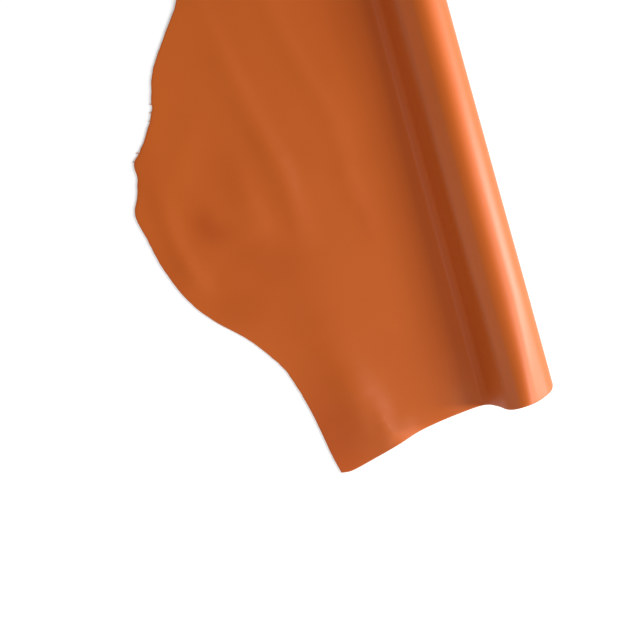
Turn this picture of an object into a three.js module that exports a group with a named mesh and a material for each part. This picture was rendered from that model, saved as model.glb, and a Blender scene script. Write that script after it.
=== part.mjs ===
// A leather belly: one side cut of smooth finished leather. It lies flat on its flesh side along its
// ragged outer edge, and its straight back edge is curled over into a long roll.
//
// Millimetres, +Z up, with the roll along Y. The leather is first described flat, as it was cut:
//   across  from the line where it starts to lift, positive towards the back edge
//   along   from the low corner, positive up the roll
// and is then bent round the section of the curl. The origin is the middle of the base.
import * as THREE from 'three';

const thickness = 2;
const leatherColour = 0xbd5b1e;

// The section of the curl, from the flat leather to the back edge, as arcs of the middle of its
// thickness: how long each is and how far it turns the leather, in degrees, up being positive. The
// straight face has the length that sets the underside of the roll down on the floor.
const section = [
  { stretch: 'lift', length: 48, turn: 12, steps: 2 },
  { stretch: 'crease', length: 3.5, turn: 36, steps: 2 },
  { stretch: 'step', length: 6.5, turn: 1, steps: 1 },
  { stretch: 'foot', length: 7, turn: 20, steps: 1 },
  { stretch: 'face', length: 0, turn: 0, steps: 1 },
  { stretch: 'shoulder', length: 9.2, turn: -31, steps: 2 },
  { stretch: 'pressed line', length: 11.8, turn: -4, steps: 1 },
  { stretch: 'brow', length: 6, turn: -21, steps: 1 },
  { stretch: 'crown', length: 14.5, turn: -45, steps: 2 },
  { stretch: 'side', length: 38, turn: -58, steps: 4 },
  { stretch: 'turn under', length: 31.5, turn: -90, steps: 4 },
  { stretch: 'rest', length: 8, turn: 0, steps: 1 },
  { stretch: 'tuck', length: 47, turn: -150, steps: 4 },
];

// The ragged outer edge, from the low corner round the shank lobe, in at the waist and out round the
// other shank to the top corner. It lies on the flat, so across is negative.
const outerEdge = [
  { place: 'low corner', across: -104, along: 0 },
  { place: 'low shank', across: -109, along: 22 },
  { place: 'low shank', across: -116, along: 62 },
  { place: 'low shank', across: -126, along: 100 },
  { place: 'shank bend', across: -136, along: 122 },
  { place: 'lobe, below', across: -158, along: 152 },
  { place: 'lobe, below', across: -187, along: 180 },
  { place: 'lobe, below', across: -207, along: 207 },
  { place: 'lobe, below', across: -222, along: 243 },
  { place: 'lobe, below', across: -230, along: 277 },
  { place: 'lobe tip', across: -235, along: 302 },
  { place: 'lobe, above', across: -227.5, along: 321 },
  { place: 'small tip, below', across: -223, along: 340 },
  { place: 'small tip', across: -222, along: 354 },
  { place: 'small tip, above', across: -212.5, along: 364 },
  { place: 'shallow notch', across: -193.5, along: 394 },
  { place: 'shelf', across: -187, along: 418 },
  { place: 'shelf, above', across: -178, along: 441 },
  { place: 'flank', across: -158, along: 470 },
  { place: 'flank', across: -138, along: 500 },
  { place: 'flank', across: -112, along: 560 },
  { place: 'waist', across: -93, along: 655 },
  { place: 'other shank, below', across: -103, along: 760 },
  { place: 'other shank, below', across: -136, along: 870 },
  { place: 'other lobe', across: -172, along: 1000 },
  { place: 'other shank, above', across: -152, along: 1105 },
  { place: 'other shank, above', across: -112, along: 1160 },
  { place: 'top corner', across: -62, along: 1190 },
];

// The two cut ends, from the outer edge to the back edge.
const lowEnd = [
  { across: -104, along: 0 },
  { across: -95, along: -1 },
  { across: -84, along: 1 },
  { across: -63, along: 6.5 },
  { across: -40, along: 13 },
  { across: -20, along: 19 },
  { across: 0, along: 22.7 },
  { across: 25, along: 26 },
  { across: 52, along: 28 },
  { across: 76, along: 25 },
  { across: 100, along: 20 },
  { across: 122, along: 21.5 },
  { across: 145, along: 26.5 },
  { across: 160, along: 32 },
  { across: 195, along: 41 },
  { across: 250, along: 50 },
];
const topEnd = [
  { across: -62, along: 1190 },
  { across: 0, along: 1196 },
  { across: 90, along: 1184 },
  { across: 250, along: 1168 },
];

// Soft folds, left from when the leather was rolled tighter and tossed down. Each is a low ridge along
// a line of places, as high as each place says, and falls away over its own width on its outer side
// and on the side towards the roll. A height below nothing is a shallow hollow; where folds meet,
// their heights add up.
const folds = [
  {
    fold: 'long fold', outerWidth: 10, rollWidth: 8,
    places: [
      { across: -128, along: 520, height: 0.3 },
      { across: -121, along: 490, height: 0.5 },
      { across: -114, along: 460, height: 0.7 },
      { across: -109.5, along: 430, height: 1.1 },
      { across: -105.5, along: 408, height: 1.6 },
      { across: -101, along: 382, height: 2.3 },
      { across: -95.5, along: 360, height: 3 },
      { across: -89.5, along: 336, height: 3.5 },
      { across: -84.5, along: 318, height: 3.5 },
      { across: -81.5, along: 297, height: 3 },
      { across: -80, along: 270, height: 2 },
      { across: -78, along: 250, height: 1.2 },
      { across: -75, along: 236, height: 0.5 },
      { across: -74, along: 222, height: 0 },
    ],
  },
  {
    fold: 'upper long fold', outerWidth: 24, rollWidth: 7,
    places: [
      { across: -128, along: 520, height: 0.6 },
      { across: -121, along: 490, height: 0.9 },
      { across: -114, along: 460, height: 1.1 },
      { across: -109.5, along: 430, height: 1.3 },
      { across: -105.5, along: 408, height: 1 },
      { across: -101, along: 382, height: 0.5 },
      { across: -95.5, along: 360, height: 0 },
    ],
  },
  {
    fold: 'corner fold', outerWidth: 15, rollWidth: 14,
    places: [
      { across: -87, along: 160, height: 0 },
      { across: -83, along: 132, height: 1 },
      { across: -78, along: 106, height: 2.8 },
      { across: -73, along: 88, height: 4.4 },
      { across: -68, along: 72, height: 5.4 },
      { across: -63, along: 56, height: 5.8 },
      { across: -58, along: 42, height: 5.8 },
      { across: -51, along: 28, height: 5.8 },
      { across: -43, along: 14, height: 6 },
      { across: -35, along: 0, height: 6 },
    ],
  },
  {
    fold: 'corner of the fold', outerWidth: 5, rollWidth: 5,
    places: [
      { across: -57, along: 66, height: 0 },
      { across: -54, along: 54, height: 0.8 },
      { across: -51.5, along: 44, height: 1.8 },
      { across: -49.5, along: 34, height: 1.8 },
      { across: -47.5, along: 24, height: 1 },
      { across: -46, along: 14, height: 0 },
    ],
  },
  {
    fold: 'lip of the low end', outerWidth: 9, rollWidth: 9,
    places: [
      { across: -50, along: 20, height: 0.3 },
      { across: -39, along: 27, height: 1 },
      { across: -27, along: 31, height: 1.1 },
      { across: -16, along: 33, height: 0.5 },
      { across: -4, along: 35, height: 0 },
    ],
  },
  {
    fold: 'slack low end', outerWidth: 14, rollWidth: 9,
    places: [
      { across: 46, along: 0, height: -2 },
      { across: 42, along: 30, height: -2 },
      { across: 36, along: 55, height: -1.2 },
      { across: 31, along: 88, height: 0 },
    ],
  },
  {
    fold: 'second fold', outerWidth: 8, rollWidth: 7,
    places: [
      { across: -62, along: 506, height: 0.5 },
      { across: -55, along: 478, height: 1.1 },
      { across: -49.5, along: 452, height: 1.5 },
      { across: -44.5, along: 430, height: 1.7 },
      { across: -39.5, along: 409, height: 1.8 },
      { across: -33.5, along: 388, height: 1.7 },
      { across: -27, along: 368, height: 1.5 },
      { across: -21.5, along: 348, height: 1.2 },
      { across: -19, along: 328, height: 1 },
      { across: -19, along: 307, height: 0.9 },
      { across: -21, along: 283, height: 1.2 },
      { across: -19, along: 257, height: 1.2 },
      { across: -15, along: 238, height: 0.6 },
      { across: -12, along: 225, height: 0 },
    ],
  },
  {
    fold: 'lobe rim', outerWidth: 7, rollWidth: 6,
    places: [
      { across: -208, along: 318, height: 0.4 },
      { across: -206, along: 300, height: 0.9 },
      { across: -205, along: 275, height: 1.2 },
      { across: -203, along: 255, height: 1.6 },
      { across: -198, along: 240, height: 2.3 },
      { across: -192, along: 226, height: 2 },
      { across: -184, along: 212, height: 0.8 },
      { across: -176, along: 200, height: 0.1 },
    ],
  },
  {
    fold: 'edge of the shank', outerWidth: 9, rollWidth: 40,
    places: [
      { across: -184, along: 205, height: 0.2 },
      { across: -166, along: 190, height: 1 },
      { across: -144, along: 168, height: 1.3 },
      { across: -124, along: 146, height: 1.2 },
      { across: -108, along: 118, height: 0.9 },
      { across: -98, along: 85, height: 0.4 },
      { across: -94, along: 60, height: 0 },
    ],
  },
  {
    fold: 'lobe swell', outerWidth: 14, rollWidth: 7,
    places: [
      { across: -130, along: 340, height: 0.2 },
      { across: -126, along: 310, height: 1 },
      { across: -122, along: 285, height: 1.6 },
      { across: -119, along: 264, height: 1.3 },
      { across: -116, along: 245, height: 0.3 },
    ],
  },
  {
    fold: 'lobe ripple', outerWidth: 10, rollWidth: 12,
    places: [
      { across: -184, along: 334, height: 0.5 },
      { across: -166, along: 362, height: 0.7 },
      { across: -150, along: 390, height: 0.3 },
    ],
  },
  {
    fold: 'line up the shoulder', outerWidth: 5, rollWidth: 40,
    places: [
      { across: 92.5, along: 600, height: -0.9 },
      { across: 92.5, along: 400, height: -1.4 },
      { across: 92.5, along: 350, height: -1 },
      { across: 93, along: 300, height: -0.1 },
      { across: 94, along: 240, height: 0.5 },
      { across: 96.5, along: 170, height: 1.7 },
      { across: 98.5, along: 120, height: 2.5 },
      { across: 99, along: 60, height: 2.8 },
      { across: 99, along: 20, height: 2.8 },
    ],
  },
  {
    fold: 'flat of the crown', outerWidth: 16, rollWidth: 12,
    places: [
      { across: 114, along: 900, height: 0 },
      { across: 114, along: 600, height: -1.3 },
      { across: 114, along: 380, height: -1.9 },
      { across: 114, along: 340, height: -1.6 },
      { across: 113, along: 300, height: -0.8 },
      { across: 112, along: 250, height: 0 },
    ],
  },
  {
    fold: 'low end of the crown', outerWidth: 8, rollWidth: 8,
    places: [
      { across: 118, along: 126, height: 0 },
      { across: 118, along: 88, height: 0.6 },
      { across: 116, along: 50, height: 1.6 },
      { across: 113, along: 18, height: 2.6 },
    ],
  },
  {
    fold: 'flat of the low end', outerWidth: 9, rollWidth: 12,
    places: [
      { across: 134, along: 126, height: 0 },
      { across: 134, along: 88, height: -0.8 },
      { across: 131, along: 50, height: -1.8 },
      { across: 127, along: 18, height: -2.8 },
    ],
  },
];

const columnsOnTheFlat = 18;
const rowsPerPlace = 2;

const radians = THREE.MathUtils.degToRad;

// Moves a point of the section along one arc, a chord at a time, and returns where each chord ends.
function followArc(start, length, turn, steps) {
  const turnPerStep = radians(turn) / steps;
  const halfTurn = turnPerStep / 2;
  const chord = (length / steps) * (halfTurn === 0 ? 1 : Math.sin(halfTurn) / halfTurn);
  const points = [];
  let point = start;
  for (let step = 1; step <= steps; step += 1) {
    const heading = point.heading + halfTurn;
    point = {
      across: point.across + length / steps,
      x: point.x + chord * Math.cos(heading),
      z: point.z + chord * Math.sin(heading),
      heading: point.heading + turnPerStep,
    };
    points.push(point);
  }
  return points;
}

// The whole section, with the straight face's length worked out first.
function curlSection() {
  const lifted = { across: 0, x: 0, z: 0, heading: 0 };
  let point = lifted;
  let faceHeading = 0;
  for (const { stretch, length, turn, steps } of section) {
    if (stretch === 'face') faceHeading = point.heading;
    if (stretch === 'rest') break;
    point = followArc(point, length, turn, steps).at(-1);
  }
  const faceLength = -point.z / Math.sin(faceHeading);
  const points = [lifted];
  for (const { stretch, length, turn, steps } of section) {
    const realLength = stretch === 'face' ? faceLength : length;
    points.push(...followArc(points.at(-1), realLength, turn, steps));
  }
  return points;
}

// How far along a cut end lies at a place across.
function endCurve(rows) {
  const across = rows.map((row) => row.across);
  const along = rows.map((row) => row.along);
  const curve = new THREE.CubicInterpolant(across, along, 1);
  return (at) => curve.evaluate(at)[0];
}

// How high the folds lift the leather at one place.
function foldHeight(across, along) {
  const here = new THREE.Vector3(across, along, 0);
  const nearest = new THREE.Vector3();
  let lift = 0;
  for (const { outerWidth, rollWidth, places } of folds) {
    let distance = Infinity;
    let width = outerWidth;
    let height = 0;
    for (let i = 1; i < places.length; i += 1) {
      const from = new THREE.Vector3(places[i - 1].across, places[i - 1].along, 0);
      const to = new THREE.Vector3(places[i].across, places[i].along, 0);
      const line = new THREE.Line3(from, to);
      const share = line.closestPointToPointParameter(here, true);
      line.at(share, nearest);
      if (nearest.distanceTo(here) < distance) {
        distance = nearest.distanceTo(here);
        width = nearest.x > here.x ? outerWidth : rollWidth;
        height = THREE.MathUtils.lerp(places[i - 1].height, places[i].height, share);
      }
    }
    lift += height * Math.exp(-0.5 * (distance / width) ** 2);
  }
  return lift;
}

// The leather as a grid of places on its flat shape, each with the point where the bent sheet's
// middle lies and the direction its grain side faces.
function leatherGrid() {
  const curl = curlSection();
  const lowAlong = endCurve(lowEnd);
  const topAlong = endCurve(topEnd);
  const edge = new THREE.SplineCurve(outerEdge.map((row) => new THREE.Vector2(row.across, row.along)));
  const rows = (outerEdge.length - 1) * rowsPerPlace;
  const lowCorner = outerEdge[0];
  const topCorner = outerEdge.at(-1);
  const grid = [];
  for (let row = 0; row <= rows; row += 1) {
    const outer = edge.getPoint(row / rows);
    const share = (outer.y - lowCorner.along) / (topCorner.along - lowCorner.along);
    const line = [];
    for (let column = 0; column < columnsOnTheFlat; column += 1) {
      const inward = column / columnsOnTheFlat;
      const lowAcross = lowCorner.across * (1 - inward);
      const topAcross = topCorner.across * (1 - inward);
      const cornerLow = lowCorner.along * (1 - inward) + lowAlong(0) * inward;
      const cornerTop = topCorner.along * (1 - inward) + topAlong(0) * inward;
      const liftAlong = THREE.MathUtils.lerp(lowAlong(0), topAlong(0), share);
      const across = outer.x * (1 - inward);
      const along = outer.y * (1 - inward) + liftAlong * inward
        + (lowAlong(lowAcross) - cornerLow) * (1 - share)
        + (topAlong(topAcross) - cornerTop) * share;
      const middle = new THREE.Vector3(across, along, thickness / 2 + foldHeight(across, along));
      line.push({ middle, grain: new THREE.Vector3(0, 0, 1) });
    }
    for (const { across, x, z, heading } of curl) {
      const along = THREE.MathUtils.lerp(lowAlong(across), topAlong(across), share);
      const fold = foldHeight(across, along);
      const grain = new THREE.Vector3(-Math.sin(heading), 0, Math.cos(heading));
      const middle = new THREE.Vector3(x, along, thickness / 2 + z).addScaledVector(grain, fold);
      line.push({ middle, grain });
    }
    grid.push(line);
  }
  return grid;
}

// One closed solid: the grain side, the flesh side and the four cut edges.
function leatherGeometry(grid) {
  const rows = grid.length - 1;
  const columns = grid[0].length - 1;
  const positions = [];
  for (const side of [0.5, -0.5]) {
    for (const line of grid) {
      for (const { middle, grain } of line) {
        const point = middle.clone().addScaledVector(grain, side * thickness);
        positions.push(point.x, point.y, point.z);
      }
    }
  }
  const onGrain = (row, column) => row * (columns + 1) + column;
  const onFlesh = (row, column) => onGrain(row, column) + (rows + 1) * (columns + 1);
  const triangles = [];
  const addQuad = (a, b, c, d) => triangles.push(a, b, c, a, c, d);
  for (let row = 0; row < rows; row += 1) {
    for (let column = 0; column < columns; column += 1) {
      const corners = [[row, column], [row, column + 1], [row + 1, column + 1], [row + 1, column]];
      addQuad(...corners.map((corner) => onGrain(...corner)));
      addQuad(...corners.reverse().map((corner) => onFlesh(...corner)));
    }
  }
  for (let row = 0; row < rows; row += 1) {
    addQuad(onGrain(row, 0), onGrain(row + 1, 0), onFlesh(row + 1, 0), onFlesh(row, 0));
    const backEdge = [onGrain(row + 1, columns), onGrain(row, columns)];
    addQuad(...backEdge, onFlesh(row, columns), onFlesh(row + 1, columns));
  }
  for (let column = 0; column < columns; column += 1) {
    addQuad(onGrain(0, column + 1), onGrain(0, column), onFlesh(0, column), onFlesh(0, column + 1));
    const topCut = [onGrain(rows, column), onGrain(rows, column + 1)];
    addQuad(...topCut, onFlesh(rows, column + 1), onFlesh(rows, column));
  }
  const geometry = new THREE.BufferGeometry();
  geometry.setAttribute('position', new THREE.Float32BufferAttribute(positions, 3));
  geometry.setIndex(triangles);
  geometry.computeVertexNormals();
  return geometry;
}

// The middle of the base becomes the origin.
function originAtBase(geometry) {
  geometry.computeBoundingBox();
  const { min, max } = geometry.boundingBox;
  geometry.translate(-(min.x + max.x) / 2, -(min.y + max.y) / 2, -min.z);
  return geometry;
}

const leather = new THREE.MeshStandardMaterial({ color: leatherColour, roughness: 0.45, metalness: 0 });
const belly = new THREE.Mesh(originAtBase(leatherGeometry(leatherGrid())), leather);
belly.name = 'belly';

const part = new THREE.Group();
part.add(belly);
export default part;
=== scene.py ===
import math

import bmesh
import bpy
from mathutils import Matrix, Vector, geometry, noise


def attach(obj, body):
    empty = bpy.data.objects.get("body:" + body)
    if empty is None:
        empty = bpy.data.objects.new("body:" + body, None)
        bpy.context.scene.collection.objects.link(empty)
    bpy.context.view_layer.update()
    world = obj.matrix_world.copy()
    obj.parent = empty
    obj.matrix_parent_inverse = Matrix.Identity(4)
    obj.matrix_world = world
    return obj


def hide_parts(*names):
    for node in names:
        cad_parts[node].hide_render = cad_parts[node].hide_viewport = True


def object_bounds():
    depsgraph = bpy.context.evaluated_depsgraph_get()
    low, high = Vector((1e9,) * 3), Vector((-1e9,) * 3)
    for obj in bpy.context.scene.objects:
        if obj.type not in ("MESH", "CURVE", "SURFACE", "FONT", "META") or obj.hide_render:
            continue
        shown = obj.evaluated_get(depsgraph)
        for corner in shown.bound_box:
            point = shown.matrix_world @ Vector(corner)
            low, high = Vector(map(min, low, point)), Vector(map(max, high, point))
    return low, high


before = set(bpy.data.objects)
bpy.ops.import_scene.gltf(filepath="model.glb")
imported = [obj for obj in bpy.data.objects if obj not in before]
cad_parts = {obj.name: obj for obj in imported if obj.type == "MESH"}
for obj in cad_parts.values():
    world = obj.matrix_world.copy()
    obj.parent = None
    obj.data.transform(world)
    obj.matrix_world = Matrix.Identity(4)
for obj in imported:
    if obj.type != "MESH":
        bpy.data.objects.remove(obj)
solid_low, solid_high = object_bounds()
scene = bpy.context.scene

# ---------------------------------------------------------------------------------------------
# The belly: one side cut of cattle leather, drum dyed orange right through and smooth on its grain
# side. It lies flesh side down along its ragged outer edge, and its straight back edge has sprung up
# into the roll that it was stored in. Nothing is sewn on it.

MM = 0.001
THICKNESS = 2.0 * MM

# Places on the leather are given flat, as it was cut, in millimetres: across from the line where it
# starts to lift, positive towards the back edge, and along from the low corner, positive up the roll.

# The section of the curl, from the line where it lifts to the back edge. The face has no length of
# its own: it is as long as sets the roll down on the table.
SECTION = (
    # stretch, length in millimetres, turn in degrees
    ("lift", 48, 12),
    ("crease", 3.5, 36),
    ("step", 6.5, 1),
    ("foot", 7, 20),
    ("face", None, 0),
    ("shoulder", 9.2, -31),
    ("pressed line", 11.8, -4),
    ("brow", 6, -21),
    ("crown", 14.5, -45),
    ("side", 38, -58),
    ("turn under", 31.5, -90),
    ("rest", 8, 0),
    ("tuck", 47, -150),
)

# The ragged outer edge, with how ragged the cut is at each place and how many rows of the mesh run to
# the next one.
OUTER_EDGE = (
    # place, across, along, ragged, rows
    ("low corner", -104, 0, 0.2, 9),
    ("low shank", -109, 22, 0.2, 15),
    ("low shank", -116, 62, 0.2, 14),
    ("low shank", -126, 100, 0.3, 9),
    ("shank bend", -136, 122, 0.4, 12),
    ("lobe, below", -158, 152, 0.3, 11),
    ("lobe, below", -187, 180, 0.3, 10),
    ("lobe, below", -207, 207, 0.3, 13),
    ("lobe, below", -222, 243, 0.3, 12),
    ("lobe, below", -230, 277, 0.3, 9),
    ("lobe tip", -235, 302, 0.4, 8),
    ("lobe, above", -227.5, 321, 0.4, 8),
    ("small tip, below", -223, 340, 0.5, 6),
    ("small tip", -222, 354, 0.6, 6),
    ("small tip, above", -212.5, 364, 0.9, 9),
    ("shallow notch", -193.5, 394, 0.9, 10),
    ("shelf", -187, 418, 0.9, 9),
    ("shelf, above", -178, 441, 0.6, 11),
    ("flank", -158, 470, 0.4, 11),
    ("flank", -138, 500, 0.4, 10),
    ("flank", -112, 560, 0.4, 12),
    ("waist", -93, 655, 0.4, 12),
    ("other shank, below", -103, 760, 0.4, 12),
    ("other shank, below", -136, 870, 0.4, 13),
    ("other lobe", -172, 1000, 0.4, 13),
    ("other shank, above", -152, 1105, 0.4, 8),
    ("other shank, above", -112, 1160, 0.4, 6),
    ("top corner", -62, 1190, 0.3, 0),
)
LOBE_REACH = 235 * MM

# The waves of the ragged cut: how far apart they are, in millimetres, how strong they are, and where
# in the noise they are read.
JAG_WAVES = (
    ("coarse", 9, 1.2, 3.1),
    ("fine", 4, 0.7, 7.7),
)

# The two cut ends, as across and along.
LOW_END = (
    (-104, 0), (-95, -1), (-84, 1), (-63, 6.5), (-40, 13), (-20, 19), (0, 22.7), (25, 26),
    (52, 28), (76, 25), (100, 20), (122, 21.5), (145, 26.5), (160, 32), (195, 41), (250, 50),
)
TOP_END = ((-62, 1190), (0, 1196), (90, 1184), (250, 1168))

# Soft folds, as low ridges along a line of places: across, along, and how high the ridge is there.
# A negative height is a shallow hollow, and where folds cross, their heights add up.
FOLDS = (
    # fold, width towards the outer edge, width towards the back edge, then its places
    ("long fold", 10, 8, (
        (-128, 520, 0.3), (-121, 490, 0.5), (-114, 460, 0.7), (-109.5, 430, 1.1),
        (-105.5, 408, 1.6), (-101, 382, 2.3), (-95.5, 360, 3), (-89.5, 336, 3.5),
        (-84.5, 318, 3.5), (-81.5, 297, 3), (-80, 270, 2), (-78, 250, 1.2), (-75, 236, 0.5),
        (-74, 222, 0),
    )),
    ("upper long fold", 24, 7, (
        (-128, 520, 0.6), (-121, 490, 0.9), (-114, 460, 1.1), (-109.5, 430, 1.3), (-105.5, 408, 1),
        (-101, 382, 0.5), (-95.5, 360, 0),
    )),
    ("corner fold", 15, 14, (
        (-87, 160, 0), (-83, 132, 1), (-78, 106, 2.8), (-73, 88, 4.4), (-68, 72, 5.4),
        (-63, 56, 5.8), (-58, 42, 5.8), (-51, 28, 5.8), (-43, 14, 6), (-35, 0, 6),
    )),
    ("corner of the fold", 5, 5, (
        (-57, 66, 0), (-54, 54, 0.8), (-51.5, 44, 1.8), (-49.5, 34, 1.8), (-47.5, 24, 1),
        (-46, 14, 0),
    )),
    ("lip of the low end", 9, 9, (
        (-50, 20, 0.3), (-39, 27, 1), (-27, 31, 1.1), (-16, 33, 0.5), (-4, 35, 0),
    )),
    ("slack low end", 14, 9, (
        (46, 0, -2), (42, 30, -2), (36, 55, -1.2), (31, 88, 0),
    )),
    ("second fold", 8, 7, (
        (-62, 506, 0.5), (-55, 478, 1.1), (-49.5, 452, 1.5), (-44.5, 430, 1.7), (-39.5, 409, 1.8),
        (-33.5, 388, 1.7), (-27, 368, 1.5), (-21.5, 348, 1.2), (-19, 328, 1), (-19, 307, 0.9),
        (-21, 283, 1.2), (-19, 257, 1.2), (-15, 238, 0.6), (-12, 225, 0),
    )),
    ("lobe rim", 7, 6, (
        (-208, 318, 0.4), (-206, 300, 0.9), (-205, 275, 1.2), (-203, 255, 1.6), (-198, 240, 2.3),
        (-192, 226, 2), (-184, 212, 0.8), (-176, 200, 0.1),
    )),
    ("edge of the shank", 9, 40, (
        (-184, 205, 0.2), (-166, 190, 1), (-144, 168, 1.3), (-124, 146, 1.2), (-108, 118, 0.9),
        (-98, 85, 0.4), (-94, 60, 0),
    )),
    ("lobe swell", 14, 7, (
        (-130, 340, 0.2), (-126, 310, 1), (-122, 285, 1.6), (-119, 264, 1.3), (-116, 245, 0.3),
    )),
    ("lobe ripple", 10, 12, (
        (-184, 334, 0.5), (-166, 362, 0.7), (-150, 390, 0.3),
    )),
    ("line up the shoulder", 5, 40, (
        (92.5, 600, -0.9), (92.5, 400, -1.4), (92.5, 350, -1), (93, 300, -0.1), (94, 240, 0.5),
        (96.5, 170, 1.7), (98.5, 120, 2.5), (99, 60, 2.8), (99, 20, 2.8),
    )),
    ("flat of the crown", 16, 12, (
        (114, 900, 0), (114, 600, -1.3), (114, 380, -1.9), (114, 340, -1.6), (113, 300, -0.8),
        (112, 250, 0),
    )),
    ("low end of the crown", 8, 8, (
        (118, 126, 0), (118, 88, 0.6), (116, 50, 1.6), (113, 18, 2.6),
    )),
    ("flat of the low end", 9, 12, (
        (134, 126, 0), (134, 88, -0.8), (131, 50, -1.8), (127, 18, -2.8),
    )),
)

# Darker patches: in part the loose-fibred shank and lobe taking up more of the dye,
# in part painted shade in hollows, beside the folds and at the foot of the roll.
DEEP_DYE_AND_PAINTED_SHADE = (
    # patch, across and along at its middle, reach across, reach along, depth of colour
    ("shank corner", -102, 28, 25, 48, 1.15),
    ("shank bend", -98, 166, 20, 34, 0.45),
    ("foot of the roll", 62, 40, 16, 70, 0.5),
    ("beside the foot", 0, 96, 24, 30, 0.2),
    ("beside the foot", 8, 445, 18, 40, 0.45),
    ("beside the long fold", -100, 335, 6, 30, 0.1),
    ("beside the long fold", -87, 262, 6, 24, 0.25),
    ("beside the second fold", -16, 242, 6, 16, 0.4),
    ("lobe hollow", -171, 274, 10, 14, 0.85),
    ("lobe hollow", -155, 261, 10, 8, 0.45),
    ("lobe, inside", -134, 310, 13, 26, 0.3),
    ("lobe, below", -160, 184, 22, 17, 0.45),
    ("lobe, below", -136, 236, 24, 14, 0.3),
    ("lobe, below", -108, 216, 20, 14, 0.35),
    ("lobe edge", -212, 232, 12, 26, 0.4),
    ("lobe edge", -216, 335, 9, 45, 0.4),
)

# A painted warm tint on the shaded outer face of the roll, standing in for light bounced into that
# shade, in the same columns.
PAINTED_RED_BOUNCE = (
    ("outer face of the roll", 56, 400, 24, 1000, 1.0),
)

# Painted highlights: paler patches where the corner fold, the lip and the slack of the low end catch
# the light, in the same columns.
PAINTED_HIGHLIGHTS = (
    ("corner fold", -59, 56, 10, 16, 0.7),
    ("corner fold, low end", -46, 43, 8, 10, 0.45),
    ("lip of the low end", -33, 32, 9, 8, 0.55),
    ("slack low end", 31, 39, 10, 11, 1.1),
)

# The colours laid over the common dye, in this order: painted bounce, painted highlights, and deeper
# dye with painted shade.
DYES_AND_PAINTED_LIGHT = (
    # map on the mesh, patches, colour
    ("painted_bounce_share", PAINTED_RED_BOUNCE, "C75A1A"),
    ("painted_highlight_share", PAINTED_HIGHLIGHTS, "C7632B"),
    ("deep_dye_and_shade_share", DEEP_DYE_AND_PAINTED_SHADE, "AF4C0D"),
)

FLAT_COLUMNS = 54
# The curl's columns run close together up its creased face and over its crown, and wider inside.
CLOSE_COLUMNS = 88
CLOSE_REACH = 140 * MM
WIDE_COLUMNS = 28


def arc_step(x, z, heading, length, turn):
    """The point and the heading at the end of an arc."""
    if abs(turn) < 1e-9:
        return x + length * math.cos(heading), z + length * math.sin(heading), heading
    radius = length / turn
    end = heading + turn
    return (
        x + radius * (math.sin(end) - math.sin(heading)),
        z + radius * (math.cos(heading) - math.cos(end)),
        end,
    )


def solved_section():
    """The section in metres and radians, its face just long enough to set the roll down."""
    rise = 0.0
    face_heading = 0.0
    heading = 0.0
    for stretch, length, turn in SECTION:
        if stretch == "face":
            face_heading = heading
            continue
        if stretch == "rest":
            break
        _, rise, heading = arc_step(0, rise, heading, length * MM, math.radians(turn))
    face = -rise / math.sin(face_heading)
    return [
        (face if length is None else length * MM, math.radians(turn)) for _, length, turn in SECTION
    ]


CURL = solved_section()
BACK_EDGE = sum(length for length, _ in CURL)


def curl_point(across):
    """Where the middle of the leather's thickness lies, and its heading, at a place across."""
    x, z, heading = min(across, 0.0), 0.0, 0.0
    left = max(across, 0.0)
    for length, turn in CURL:
        part = min(left, length)
        x, z, heading = arc_step(x, z, heading, part, turn * part / length)
        left -= part
        if left <= 0:
            break
    return x, z, heading


def eased(start, end, start_slope, end_slope, t):
    """A point on the smooth curve between two ends, given its slopes at them."""
    return (
        start * (2 * t**3 - 3 * t**2 + 1)
        + end * (3 * t**2 - 2 * t**3)
        + start_slope * (t**3 - 2 * t**2 + t)
        + end_slope * (t**3 - t**2)
    )


def slope(a, b):
    """The slope from one (position, value) point to another."""
    return (b[1] - a[1]) / (b[0] - a[0])


def smooth(points, at):
    """A smooth curve through (position, value) points, read at one position."""
    last = len(points) - 2
    i = next((k for k in range(last) if at < points[k + 1][0]), last)
    (x0, y0), (x1, y1) = points[i], points[i + 1]
    inner = [slope(points[k - 1], points[k + 1]) for k in (i, i + 1) if 0 < k < len(points) - 1]
    start = inner[0] if i > 0 else (3 * slope(*points[:2]) - inner[0]) / 2
    end = inner[-1] if i < last else (3 * slope(*points[-2:]) - inner[0]) / 2
    h = x1 - x0
    return eased(y0, y1, start * h, end * h, (at - x0) / h)


def outer_rows():
    """One (across, along) place on the outer edge for each row of the mesh, in metres."""
    rows = []
    places = [Vector((across, along)) * MM for _, across, along, _, _ in OUTER_EDGE]
    for i in range(len(places) - 1):
        before = places[max(i - 1, 0)]
        start = places[i]
        end = places[i + 1]
        after = places[min(i + 2, len(places) - 1)]
        ragged = OUTER_EDGE[i][3]
        next_ragged = OUTER_EDGE[i + 1][3]
        count = OUTER_EDGE[i][4]
        for step in range(count):
            t = step / count
            place = eased(start, end, (end - before) / 2, (after - start) / 2, t)
            amount = (ragged * (1 - t) + next_ragged * t) * MM
            jag = sum(
                noise.noise(Vector((place.y / (apart * MM), read_at, 0))) * strength
                for _, apart, strength, read_at in JAG_WAVES
            )
            rows.append(place + Vector((jag * amount, 0)))
    rows.append(places[-1])
    return rows


def fold_height(across, along):
    """How far the folds lift the leather at one place."""
    here = Vector((across, along))
    lift = 0.0
    for _, outer_width, roll_width, places in FOLDS:
        best = math.inf
        for start, end in zip(places, places[1:]):
            a = Vector(start[:2]) * MM
            b = Vector(end[:2]) * MM
            share = min(max(geometry.intersect_point_line(here, a, b)[1], 0.0), 1.0)
            nearest = a.lerp(b, share)
            away = (nearest - here).length
            if away < best:
                best = away
                width = outer_width if nearest.x > here.x else roll_width
                height = start[2] + (end[2] - start[2]) * share
        lift += height * math.exp(-0.5 * (best / (width * MM)) ** 2)
    return lift * MM


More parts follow.
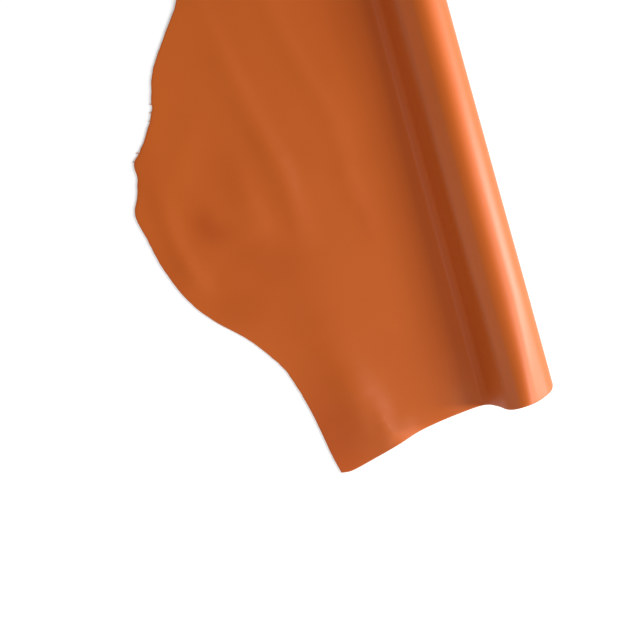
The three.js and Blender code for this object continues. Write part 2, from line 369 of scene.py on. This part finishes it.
def dye_and_painted_light_share(patches, across, along):
    """How much of their own colour the patches give one place: 0 is none, and 1 or more is all."""
    share = 0.0
    for _, middle_across, middle_along, reach_across, reach_along, depth in patches:
        off_across = (across / MM - middle_across) / reach_across
        off_along = (along / MM - middle_along) / reach_along
        share += depth * math.exp(-0.5 * off_across**2 - 0.5 * off_along**2)
    return share


def leather_sheet():
    """The belly as a grid of faces, laid out flat for its UV map and bent to shape."""
    outer = outer_rows()
    rows = len(outer) - 1
    columns = FLAT_COLUMNS + CLOSE_COLUMNS + WIDE_COLUMNS
    low_corner = Vector(OUTER_EDGE[0][1:3]) * MM
    top_corner = Vector(OUTER_EDGE[-1][1:3]) * MM
    low_at_lift = smooth(LOW_END, 0) * MM
    top_at_lift = smooth(TOP_END, 0) * MM
    lift_x = solid_low.x + LOBE_REACH
    bm = bmesh.new()
    bmesh.ops.create_grid(bm, x_segments=columns, y_segments=rows, size=0.5)
    flat_map = bm.loops.layers.uv.new("flat")
    dye_and_light_maps = [(bm.verts.layers.float.new(name), patches) for name, patches, _ in DYES_AND_PAINTED_LIGHT]
    flat_places = {}
    for vert in bm.verts:
        column = round((vert.co.x + 0.5) * columns)
        row = round((vert.co.y + 0.5) * rows)
        edge = outer[row]
        share = (edge.y - low_corner.y) / (top_corner.y - low_corner.y)
        share = min(max(share, 0.0), 1.0)
        if column < FLAT_COLUMNS:
            inward = column / FLAT_COLUMNS
            low = smooth(LOW_END, low_corner.x / MM * (1 - inward)) * MM
            top = smooth(TOP_END, top_corner.x / MM * (1 - inward)) * MM
            low_straight = low_corner.y * (1 - inward) + low_at_lift * inward
            top_straight = top_corner.y * (1 - inward) + top_at_lift * inward
            across = edge.x * (1 - inward)
            at_lift = low_at_lift * (1 - share) + top_at_lift * share
            along = edge.y * (1 - inward) + at_lift * inward
            along += (low - low_straight) * (1 - share) + (top - top_straight) * share
        else:
            close = column - FLAT_COLUMNS
            wide = max(close - CLOSE_COLUMNS, 0)
            across = CLOSE_REACH * min(close, CLOSE_COLUMNS) / CLOSE_COLUMNS
            across += (BACK_EDGE - CLOSE_REACH) * wide / WIDE_COLUMNS
            low = smooth(LOW_END, across / MM) * MM
            top = smooth(TOP_END, across / MM) * MM
            along = low * (1 - share) + top * share
        x, z, heading = curl_point(across)
        lift = fold_height(across, along)
        vert.co = (
            lift_x + x - lift * math.sin(heading),
            solid_low.y + along,
            THICKNESS / 2 + z + lift * math.cos(heading),
        )
        # Each map holds a patch colour's share: painted warm bounce, painted highlights, deeper dye
        # with painted shade.
        for patch_map, patches in dye_and_light_maps:
            vert[patch_map] = dye_and_painted_light_share(patches, across, along)
        flat_places[vert] = (across, along)
    for face in bm.faces:
        face.smooth = True
        for loop in face.loops:
            loop[flat_map].uv = flat_places[loop.vert]
    mesh = bpy.data.meshes.new("belly_leather")
    bm.to_mesh(mesh)
    bm.free()
    leather = bpy.data.objects.new("belly_leather", mesh)
    scene.collection.objects.link(leather)
    return leather


leather = leather_sheet()
flat_area = 0.0
for face in leather.data.polygons:
    corners = [Vector((*leather.data.uv_layers["flat"].data[k].uv, 0)) for k in face.loop_indices]
    flat_area += geometry.area_tri(*corners[:3])
    flat_area += geometry.area_tri(corners[0], *corners[2:])


def linear(hex_colour):
    """An sRGB hex colour as linear RGBA."""
    channels = [int(hex_colour[i : i + 2], 16) / 255 for i in (0, 2, 4)]
    linearised = [c / 12.92 if c <= 0.04045 else ((c + 0.055) / 1.055) ** 2.4 for c in channels]
    return (*linearised, 1.0)


def add_node(tree, kind, settings=None, links=None):
    """Adds a node, sets its properties or input values, and links outputs to its inputs."""
    node = tree.nodes.new(kind)
    for name, value in (settings or {}).items():
        if isinstance(name, int) or name in node.inputs:
            node.inputs[name].default_value = value
        else:
            setattr(node, name, value)
    for name, output in (links or {}).items():
        tree.links.new(output, node.inputs[name])
    return node


def new_material(name):
    """A material with only its output node."""
    material = bpy.data.materials.new(name)
    material.use_nodes = True
    material.node_tree.nodes.clear()
    return material, material.node_tree


# Smooth grain side: aniline dye under a thin clear finish. The eye gets an even orange with faint
# cloudy patches, deeper where the fibre is loose, a soft satin gleam and pores that only break it.
# Painted shade, painted highlights and a painted warm bounce are laid into its colour in patches.
DYE = linear("BB5817")
DYE_CLOUD = linear("C35D1C")
CLOUDS_APART = 70 * MM
# Real pores lie about 0.2 mm apart. They are drawn coarser, so that they show.
PORES_APART = 1.2 * MM
PORE_DEPTH = 0.06 * MM
grain_side, tree = new_material("smooth finished grain leather")
flat_uv = add_node(tree, "ShaderNodeUVMap", {"uv_map": "flat"}).outputs["UV"]
clouds = add_node(
    tree, "ShaderNodeTexNoise", {"Scale": 1 / CLOUDS_APART, "Detail": 2.0}, {"Vector": flat_uv}
)
colour = add_node(
    tree, "ShaderNodeMix", {"data_type": "RGBA", 6: DYE, 7: DYE_CLOUD}, {0: clouds.outputs["Fac"]}
)
# The patch colours laid over the dye: painted warm bounce on the shaded face of the roll, painted
# highlights, and deeper dye with painted shade.
for map_name, _, patch_colour in DYES_AND_PAINTED_LIGHT:
    patches = add_node(tree, "ShaderNodeAttribute", {"attribute_name": map_name})
    colour = add_node(
        tree,
        "ShaderNodeMix",
        {"data_type": "RGBA", 7: linear(patch_colour)},
        {0: patches.outputs["Fac"], 6: colour.outputs[2]},
    )
pores = add_node(
    tree, "ShaderNodeTexNoise", {"Scale": 1 / PORES_APART, "Detail": 3.0}, {"Vector": flat_uv}
)
pore_bump = add_node(
    tree,
    "ShaderNodeBump",
    {"Strength": 0.25, "Distance": PORE_DEPTH},
    {"Height": pores.outputs["Fac"]},
)
gloss = add_node(
    tree,
    "ShaderNodeBsdfPrincipled",
    {"Roughness": 0.45, "IOR": 1.4},
    {"Base Color": colour.outputs[2], "Normal": pore_bump.outputs["Normal"]},
)
add_node(tree, "ShaderNodeOutputMaterial", links={"Surface": gloss.outputs["BSDF"]})

# Flesh side: the loose fibres under the skin, buffed to a nap. The eye gets a paler, quite matt
# suede. Its tufts are drawn coarser than the real nap of about 0.5 mm, so that they show.
NAP_APART = 2.0 * MM
NAP_DEPTH = 0.3 * MM
flesh_side, tree = new_material("buffed flesh side suede")
flat_uv = add_node(tree, "ShaderNodeUVMap", {"uv_map": "flat"}).outputs["UV"]
nap = add_node(tree, "ShaderNodeTexNoise", {"Scale": 1 / NAP_APART, "Detail": 5.0}, {"Vector": flat_uv})
colour = add_node(
    tree,
    "ShaderNodeMix",
    {"data_type": "RGBA", 6: linear("B87444"), 7: linear("CE925F")},
    {0: nap.outputs["Fac"]},
)
nap_bump = add_node(
    tree, "ShaderNodeBump", {"Strength": 0.6, "Distance": NAP_DEPTH}, {"Height": nap.outputs["Fac"]}
)
suede = add_node(
    tree,
    "ShaderNodeBsdfPrincipled",
    {"Roughness": 0.95, "Sheen Weight": 0.3, "Sheen Roughness": 0.5},
    {"Base Color": colour.outputs[2], "Normal": nap_bump.outputs["Normal"]},
)
add_node(tree, "ShaderNodeOutputMaterial", links={"Surface": suede.outputs["BSDF"]})

# Cut edge: bare corium fibre, dyed through but never finished. The eye gets a paler, matt rim.
FIBRES_APART = 1.0 * MM
cut_edge, tree = new_material("raw cut leather edge")
flat_uv = add_node(tree, "ShaderNodeUVMap", {"uv_map": "flat"}).outputs["UV"]
fibre = add_node(
    tree, "ShaderNodeTexNoise", {"Scale": 1 / FIBRES_APART, "Detail": 4.0}, {"Vector": flat_uv}
)
colour = add_node(
    tree,
    "ShaderNodeMix",
    {"data_type": "RGBA", 6: linear("B4673A"), 7: linear("CD8457")},
    {0: fibre.outputs["Fac"]},
)
fibrous = add_node(
    tree, "ShaderNodeBsdfPrincipled", {"Roughness": 0.85}, {"Base Color": colour.outputs[2]}
)
add_node(tree, "ShaderNodeOutputMaterial", links={"Surface": fibrous.outputs["BSDF"]})

for material in (grain_side, flesh_side, cut_edge):
    leather.data.materials.append(material)

body = leather.modifiers.new("thickness", "SOLIDIFY")
body.thickness = THICKNESS
body.offset = 0
body.material_offset = 1
body.material_offset_rim = 2
worn = leather.modifiers.new("softened cut edge", "BEVEL")
worn.width = 0.8 * MM
worn.segments = 2
worn.limit_method = "ANGLE"
worn.angle_limit = math.radians(60)
worn.material = 2

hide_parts("belly")
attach(leather, "root")

# ---------------------------------------------------------------------------------------------
# Loose fibres: little bundles that the knife pulled out of the loose flank where it cut the notch
# and the small tip. They are bare corium, like the cut edge that they stand out of.
TUFTS = (
    # across, along, where it points in degrees from across, length in millimetres, strands
    (-190.5, 405, 168, 2.6, 5),
    (-192.5, 397, 176, 3.2, 6),
    (-196, 389, 170, 2.6, 5),
    (-211, 364, 128, 2.8, 5),
    (-216, 360.5, 140, 3.4, 6),
    (-221, 354.5, 186, 3.8, 6),
    (-222, 346, 204, 2.6, 4),
)
# How the strands of a tuft fan out: degrees between them, how much shorter each is than the one
# inside it, how many millimetres apart they leave the edge, and their slant up and down.
STRAND_FAN = 17
STRAND_SHORTER = 0.14
STRANDS_APART = 0.45
STRAND_SLANT = 0.12
# They are rooted a little inside the edge, in three layers of its thickness, in millimetres too.
ROOT_INSIDE = 0.8
LOWEST_ROOT = 0.9
ROOT_LAYER = 0.3
ROOT_RADIUS = 0.4 * MM
TIP_RADIUS = 0.15 * MM
bm = bmesh.new()
for across, along, points, length, strands in TUFTS:
    for strand in range(strands):
        fan = strand - (strands - 1) / 2
        reach = length * (1 - STRAND_SHORTER * abs(fan)) * MM
        swing = math.radians(points + STRAND_FAN * fan)
        slant = STRAND_SLANT * (-1) ** strand
        towards = Vector((math.cos(swing), math.sin(swing), slant)).normalized()
        root = Vector(
            (
                solid_low.x + LOBE_REACH + (across + ROOT_INSIDE) * MM,
                solid_low.y + (along + STRANDS_APART * fan) * MM,
                (LOWEST_ROOT + ROOT_LAYER * (strand % 3)) * MM,
            )
        )
        place = Matrix.Translation(root + towards * reach / 2)
        bmesh.ops.create_cone(
            bm,
            cap_ends=True,
            segments=5,
            radius1=ROOT_RADIUS,
            radius2=TIP_RADIUS,
            depth=reach,
            matrix=place @ towards.to_track_quat("Z", "Y").to_matrix().to_4x4(),
        )
fibre_mesh = bpy.data.meshes.new("edge_fibres")
bm.to_mesh(fibre_mesh)
bm.free()
fibres = bpy.data.objects.new("edge_fibres", fibre_mesh)
scene.collection.objects.link(fibres)

# Pulled corium fibre: dull, and bleached a little where the dye did not hold on its tips.
TIPS_APART = 1.5 * MM
pulled, tree = new_material("pulled leather fibre")
place = add_node(tree, "ShaderNodeTexCoord").outputs["Object"]
tips = add_node(tree, "ShaderNodeTexNoise", {"Scale": 1 / TIPS_APART, "Detail": 2.0}, {"Vector": place})
colour = add_node(
    tree,
    "ShaderNodeMix",
    {"data_type": "RGBA", 6: linear("B4663F"), 7: linear("D9946C")},
    {0: tips.outputs["Fac"]},
)
dull = add_node(
    tree, "ShaderNodeBsdfPrincipled", {"Roughness": 0.85}, {"Base Color": colour.outputs[2]}
)
add_node(tree, "ShaderNodeOutputMaterial", links={"Surface": dull.outputs["BSDF"]})
fibre_mesh.materials.append(pulled)
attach(fibres, "root")

# ---------------------------------------------------------------------------------------------
# The table: a plain white surface that the belly lies on. It shows pure white to the camera away
# from the belly and keeps the belly's own shadow.
TABLE_REACH = 4.0
TABLE_BELOW = 0.2 * MM
TABLE_GLOW = 0.335
table_mesh = bpy.data.meshes.new("table")
bm = bmesh.new()
bmesh.ops.create_grid(bm, x_segments=1, y_segments=1, size=TABLE_REACH)
bmesh.ops.translate(bm, vec=(0, 0, solid_low.z - TABLE_BELOW), verts=bm.verts)
bm.to_mesh(table_mesh)
bm.free()
table = bpy.data.objects.new("table", table_mesh)
scene.collection.objects.link(table)
white_top, tree = new_material("matt white table top")
matt = add_node(tree, "ShaderNodeBsdfDiffuse", {"Color": linear("E2E2E2")})
lit = add_node(tree, "ShaderNodeEmission", {"Color": (1, 1, 1, 1), "Strength": TABLE_GLOW})
both = add_node(tree, "ShaderNodeAddShader", links={0: matt.outputs[0], 1: lit.outputs[0]})
rays = add_node(tree, "ShaderNodeLightPath").outputs
seen = rays["Is Camera Ray"]
for ray in ("Is Glossy Ray", "Is Transmission Ray"):
    either = add_node(tree, "ShaderNodeMath", {"operation": "MAXIMUM"}, {0: seen, 1: rays[ray]})
    seen = either.outputs[0]
shown = add_node(
    tree, "ShaderNodeMixShader", links={0: seen, 1: matt.outputs[0], 2: both.outputs[0]}
)
add_node(tree, "ShaderNodeOutputMaterial", links={"Surface": shown.outputs[0]})
table_mesh.materials.append(white_top)

# ---------------------------------------------------------------------------------------------
# The studio: a strip lamp low beside the roll, a softbox higher on the same side, another over the
# low end, a weak one opposite, and faint even light from all round.
LAMPS = (
    # lamp, turn round the belly and height above it in degrees, width and height of its face in
    # metres, and its strength: how bright it makes a white surface that faces it
    ("low strip", -2, 6.5, 0.30, 0.80, 1.07),
    ("high softbox", -18, 40, 0.35, 1.20, 0.755),
    ("end softbox", -90, 48, 1.60, 0.80, 0.385),
    ("fill", 180, 20, 1.60, 1.00, 0.13),
)
LAMP_AWAY = 3.0
AIM_ALONG = 0.25
ROOM_GLOW = 0.20
aim = Vector((0.0, solid_low.y + AIM_ALONG, 0.0))
for lamp_name, turn, height, face_width, face_height, strength in LAMPS:
    turn = math.radians(turn)
    height = math.radians(height)
    towards = Vector(
        (math.cos(height) * math.cos(turn), math.cos(height) * math.sin(turn), math.sin(height))
    )
    lamp_data = bpy.data.lights.new(lamp_name, "AREA")
    lamp_data.shape = "RECTANGLE"
    lamp_data.size = face_width
    lamp_data.size_y = face_height
    lamp_data.energy = strength * (math.pi * LAMP_AWAY) ** 2
    lamp = bpy.data.objects.new(lamp_name, lamp_data)
    lamp.location = aim + towards * LAMP_AWAY
    lamp.rotation_euler = towards.to_track_quat("Z", "Y").to_euler()
    scene.collection.objects.link(lamp)

world = bpy.data.worlds.new("white studio")
scene.world = world
world.use_nodes = True
world.node_tree.nodes.clear()
tree = world.node_tree
room = add_node(tree, "ShaderNodeBackground", {"Color": (1, 1, 1, 1), "Strength": ROOM_GLOW})
add_node(tree, "ShaderNodeOutputWorld", links={"Surface": room.outputs[0]})

# ---------------------------------------------------------------------------------------------
# The camera looks straight down at the low end, turned so that the roll leans across the picture.
# Its place is given across and along the leather, as the folds are, and it sees 640 mm of table.
CAMERA_ACROSS = -84.4 * MM
CAMERA_ALONG = 152.9 * MM
CAMERA_HEIGHT = 1.5
CAMERA_TURN = -15.3
FIELD = 0.640
SENSOR = 36
camera_data = bpy.data.cameras.new("camera")
camera_data.sensor_width = SENSOR
camera_data.lens = SENSOR * CAMERA_HEIGHT / FIELD
camera = bpy.data.objects.new("camera", camera_data)
camera.location = (
    solid_low.x + LOBE_REACH + CAMERA_ACROSS,
    solid_low.y + CAMERA_ALONG,
    CAMERA_HEIGHT,
)
camera.rotation_euler = (0, 0, math.radians(CAMERA_TURN))
scene.collection.objects.link(camera)
scene.camera = camera

scene.view_settings.view_transform = "Standard"
